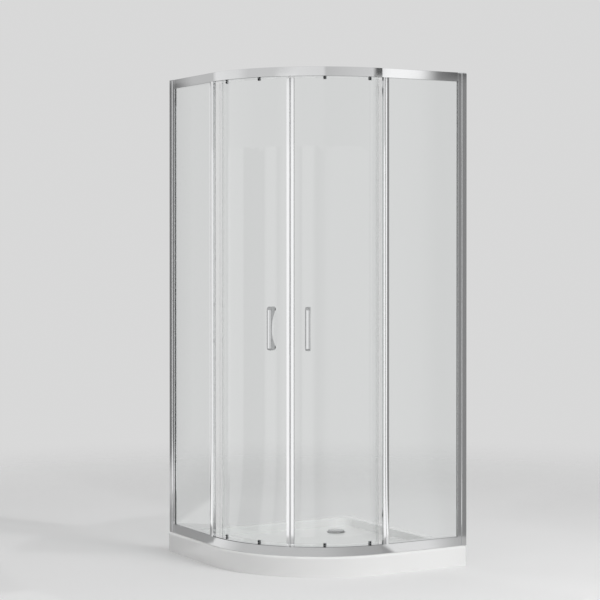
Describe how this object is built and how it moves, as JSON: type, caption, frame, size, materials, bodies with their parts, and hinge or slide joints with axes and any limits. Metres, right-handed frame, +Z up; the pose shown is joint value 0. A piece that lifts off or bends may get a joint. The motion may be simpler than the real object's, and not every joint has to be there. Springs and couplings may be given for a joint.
{
  "type": "shower cabin",
  "caption": "Quadrant shower cabin: curved sliding glass doors on roller rails between flat fixed panes, on a low white tray with a corner waste.",
  "frame": {"origin": "middle of the tray's square footprint, on the floor", "axes": "+Z up; +X towards the wall at the right fixed panel, +Y towards the wall at the left fixed panel; the curved front faces -X -Y"},
  "size_m": [0.9, 0.9, 1.98],
  "materials": {
    "white_acrylic": "glossy white sanitary acrylic",
    "clear_glass": "clear tempered glass",
    "polished_aluminium": "bright chromed aluminium extrusion",
    "chrome": "polished chrome",
    "clear_seal": "translucent soft plastic",
    "grey_magnet": "grey magnetic strip",
    "black_plastic": "moulded black plastic",
    "white_plastic": "moulded white plastic",
    "grey_plastic": "moulded grey plastic",
    "black_rubber": "soft black rubber",
    "steel": "bright stainless steel",
    "dark_screws": "dark plated metal",
    "white_nylon": "smooth nylon"
  },
  "bodies": {
    "frame": {"shower_tray": "white_acrylic", "tray_feet": "black_plastic", "tray_foot_nuts": "steel", "waste_flange": "chrome", "waste_gaskets": "black_rubber", "waste_body": "white_plastic", "top_rail": "polished_aluminium", "bottom_rail": "polished_aluminium", "left_wall_profile": "polished_aluminium", "right_wall_profile": "polished_aluminium", "left_jamb": "polished_aluminium", "right_jamb": "polished_aluminium", "jamb_caps": "grey_plastic", "jamb_screws": "steel", "corner_spigots": "white_plastic", "frame_screws": "steel", "rail_end_caps": "grey_plastic", "rail_stops": "black_rubber", "left_fixed_glass": "clear_glass", "right_fixed_glass": "clear_glass", "left_glazing_gasket": "clear_seal", "right_glazing_gasket": "clear_seal", "left_fixed_stile": "polished_aluminium", "right_fixed_stile": "polished_aluminium", "left_overlap_seal": "clear_seal", "right_overlap_seal": "clear_seal"},
    "left_door": {"left_door_glass": "clear_glass", "left_outer_stile": "clear_seal", "left_meeting_stile": "polished_aluminium", "left_magnetic_seal": "grey_magnet", "left_handle": "chrome", "left_handle_bolts": "steel", "left_handle_washers": "clear_seal", "left_handle_caps": "chrome", "left_roller_brackets": "black_plastic", "left_roller_axles": "steel", "left_roller_screws": "dark_screws"},
    "right_door": {"right_door_glass": "clear_glass", "right_outer_stile": "clear_seal", "right_meeting_stile": "polished_aluminium", "right_magnetic_seal": "grey_magnet", "right_handle": "chrome", "right_handle_bolts": "steel", "right_handle_washers": "clear_seal", "right_handle_caps": "chrome", "right_roller_brackets": "black_plastic", "right_roller_axles": "steel", "right_roller_screws": "dark_screws"},
    "waste_lid": {"waste_cover": "chrome", "waste_strainer": "white_plastic"},
    "left_top_outer_wheel": {"left_top_outer_wheel": "white_nylon"},
    "left_bottom_outer_wheel": {"left_bottom_outer_wheel": "white_nylon"},
    "left_top_inner_wheel": {"left_top_inner_wheel": "white_nylon"},
    "left_bottom_inner_wheel": {"left_bottom_inner_wheel": "white_nylon"},
    "right_top_outer_wheel": {"right_top_outer_wheel": "white_nylon"},
    "right_bottom_outer_wheel": {"right_bottom_outer_wheel": "white_nylon"},
    "right_top_inner_wheel": {"right_top_inner_wheel": "white_nylon"},
    "right_bottom_inner_wheel": {"right_bottom_inner_wheel": "white_nylon"}
  },
  "joints": [
    {"name": "left_door_run", "type": "hinge", "parent": "frame", "child": "left_door", "pos_m": [0.385, 0.105, 1.03], "axis": [0, 0, -1], "range_deg": [0, 17.2]},
    {"name": "right_door_run", "type": "hinge", "parent": "frame", "child": "right_door", "pos_m": [0.105, 0.385, 1.03], "axis": [0, 0, 1], "range_deg": [0, 17.2]},
    {"name": "waste_lid_lift", "type": "slide", "parent": "frame", "child": "waste_lid", "axis": [0, 0, 1], "range_m": [0, 0.06]},
    {"name": "left_top_outer_wheel_spin", "type": "hinge", "parent": "left_door", "child": "left_top_outer_wheel", "pos_m": [-0.41877, 0.02215, 1.9583], "axis": [-0.9982, -0.0593, 0], "range_deg": [0, 1164]},
    {"name": "left_bottom_outer_wheel_spin", "type": "hinge", "parent": "left_door", "child": "left_bottom_outer_wheel", "pos_m": [-0.41877, 0.02215, 0.1017], "axis": [0.9982, 0.0593, 0], "range_deg": [0, 1164]},
    {"name": "left_top_inner_wheel_spin", "type": "hinge", "parent": "left_door", "child": "left_top_inner_wheel", "pos_m": [-0.36692, -0.16611, 1.9583], "axis": [-0.8878, -0.4602, 0], "range_deg": [0, 1151]},
    {"name": "left_bottom_inner_wheel_spin", "type": "hinge", "parent": "left_door", "child": "left_bottom_inner_wheel", "pos_m": [-0.36692, -0.16611, 0.1017], "axis": [0.8878, 0.4602, 0], "range_deg": [0, 1151]},
    {"name": "right_top_outer_wheel_spin", "type": "hinge", "parent": "right_door", "child": "right_top_outer_wheel", "pos_m": [0.02215, -0.41877, 1.9583], "axis": [0.0593, 0.9982, 0], "range_deg": [0, 1164]},
    {"name": "right_bottom_outer_wheel_spin", "type": "hinge", "parent": "right_door", "child": "right_bottom_outer_wheel", "pos_m": [0.02215, -0.41877, 0.1017], "axis": [-0.0593, -0.9982, 0], "range_deg": [0, 1164]},
    {"name": "right_top_inner_wheel_spin", "type": "hinge", "parent": "right_door", "child": "right_top_inner_wheel", "pos_m": [-0.16611, -0.36692, 1.9583], "axis": [0.4602, 0.8878, 0], "range_deg": [0, 1151]},
    {"name": "right_bottom_inner_wheel_spin", "type": "hinge", "parent": "right_door", "child": "right_bottom_inner_wheel", "pos_m": [-0.16611, -0.36692, 0.1017], "axis": [-0.4602, -0.8878, 0], "range_deg": [0, 1151]}
  ],
  "couplings": [
    {"joint": "left_top_outer_wheel_spin", "follows": "left_door_run", "ratio": 67.336},
    {"joint": "left_bottom_outer_wheel_spin", "follows": "left_door_run", "ratio": 67.336},
    {"joint": "left_top_inner_wheel_spin", "follows": "left_door_run", "ratio": 66.608},
    {"joint": "left_bottom_inner_wheel_spin", "follows": "left_door_run", "ratio": 66.608},
    {"joint": "right_top_outer_wheel_spin", "follows": "right_door_run", "ratio": 67.336},
    {"joint": "right_bottom_outer_wheel_spin", "follows": "right_door_run", "ratio": 67.336},
    {"joint": "right_top_inner_wheel_spin", "follows": "right_door_run", "ratio": 66.608},
    {"joint": "right_bottom_inner_wheel_spin", "follows": "right_door_run", "ratio": 66.608}
  ]
}
